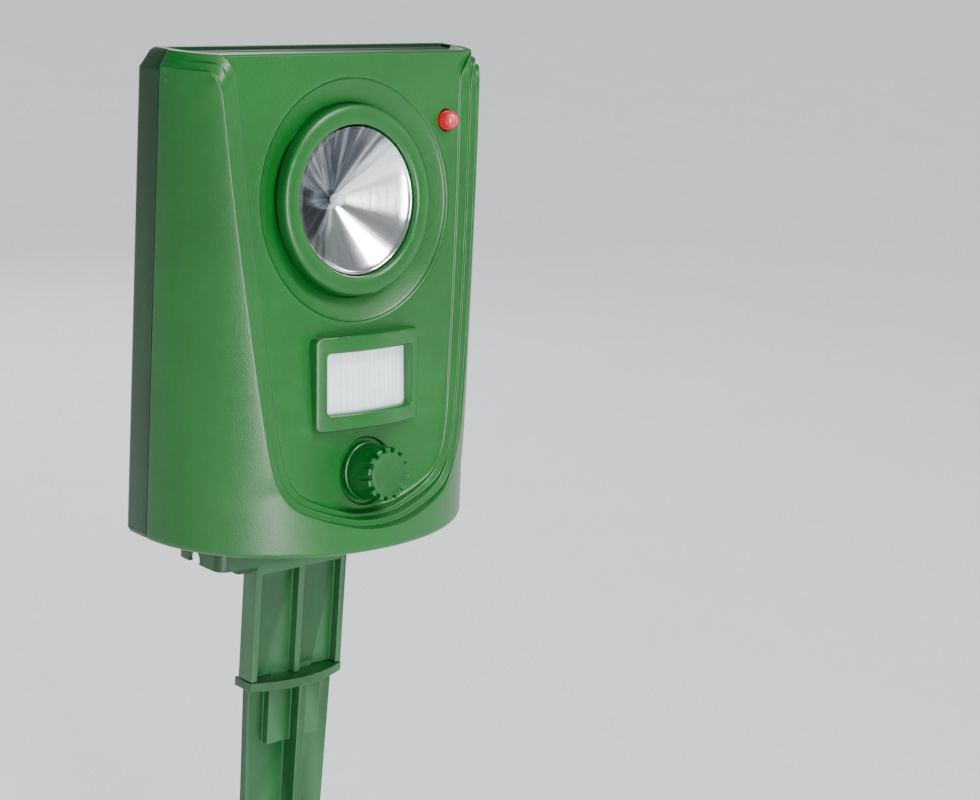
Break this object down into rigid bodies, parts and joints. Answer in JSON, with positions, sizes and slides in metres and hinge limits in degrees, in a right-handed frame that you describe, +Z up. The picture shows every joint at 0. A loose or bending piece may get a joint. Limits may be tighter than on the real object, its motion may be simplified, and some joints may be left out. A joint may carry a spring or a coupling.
{
  "type": "ultrasonic pest repeller",
  "caption": "Garden pest repeller on a ground stake: a round-fronted housing with a leaning face that holds a horn speaker, motion window, indicator and control knob.",
  "frame": {"origin": "on the stake's axis at the soil line, 58 mm below the housing's underside", "axes": "+Z up, -Y out of the front of the housing, +X to the right when the front is looked at"},
  "size_m": [0.0946, 0.0439, 0.3026],
  "materials": {
    "green_front": "fine spark-eroded grain, satin",
    "green_rear": "fine spark-eroded grain, darker",
    "green_stake": "smooth moulded",
    "green_knob": "smooth moulded",
    "lens_white": "translucent white with fine facets",
    "led_red": "clear red",
    "cone_metal": "polished",
    "steel": "zinc plated",
    "brass": "satin",
    "black_plastic": "satin",
    "board_green": "solder mask",
    "rubber": "matte",
    "cell_sleeve": "printed steel can with a plain shrink sleeve",
    "clear_bead": "clear, glossy",
    "copper": "enamelled copper winding",
    "wire_red": "insulated wire",
    "wire_black": "insulated wire"
  },
  "bodies": {
    "stake": {"stake_upper": "green_stake", "stake_spike": "green_stake", "tilt_bolt": "steel", "tilt_nut": "steel", "tilt_washer": "steel"},
    "housing": {"front_shell": "green_front", "speaker_bezel": "green_front", "motion_hood": "green_front", "rear_shell": "green_rear", "tilt_bracket": "green_rear", "housing_seal": "rubber", "housing_screw_1": "steel", "housing_screw_2": "steel", "housing_screw_3": "steel", "housing_screw_4": "steel", "speaker_screw_1": "steel", "speaker_screw_2": "steel", "speaker_screw_3": "steel", "speaker_screw_4": "steel", "board_screw_1": "steel", "board_screw_2": "steel", "board_screw_3": "steel", "board_screw_4": "steel", "motion_sensor": "steel", "bracket_screw_1": "steel", "bracket_screw_2": "steel", "contact_plate_1": "steel", "contact_plate_2": "steel", "contact_plate_3": "steel", "contact_plate_4": "steel", "contact_plate_5": "steel", "contact_spring_1": "steel", "contact_spring_2": "steel", "contact_spring_3": "steel", "contact_spring_4": "steel", "speaker_cone": "cone_metal", "speaker_frame": "black_plastic", "control_pot": "black_plastic", "timer_chip": "black_plastic", "capacitor": "black_plastic", "speaker_piezo": "brass", "speaker_bead": "clear_bead", "motion_lens": "lens_white", "indicator_led": "led_red", "circuit_board": "board_green", "output_coil": "copper", "battery_1": "cell_sleeve", "battery_2": "cell_sleeve", "battery_3": "cell_sleeve", "battery_4": "cell_sleeve", "speaker_wire_black": "wire_black", "battery_wire_black": "wire_black", "led_wire": "wire_black", "speaker_wire_red": "wire_red", "battery_wire_red": "wire_red"},
    "knob": {"control_knob": "green_knob", "control_shaft": "steel"},
    "door": {"battery_door": "green_rear", "door_seal": "rubber", "door_screw": "steel"}
  },
  "joints": [
    {"name": "housing_tilt", "type": "hinge", "parent": "stake", "child": "housing", "pos_m": [0, 0, 0.051], "axis": [1, 0, 0], "range_deg": [-15, 15]},
    {"name": "knob_turn", "type": "hinge", "parent": "housing", "child": "knob", "pos_m": [0, -0.02603, 0.07543], "axis": [0, -0.9901, 0.14], "range_deg": [-140, 140]},
    {"name": "door_hinge", "type": "hinge", "parent": "housing", "child": "door", "pos_m": [0, 0.00795, 0.0626], "axis": [-1, 0, 0], "range_deg": [0, 95]}
  ]
}
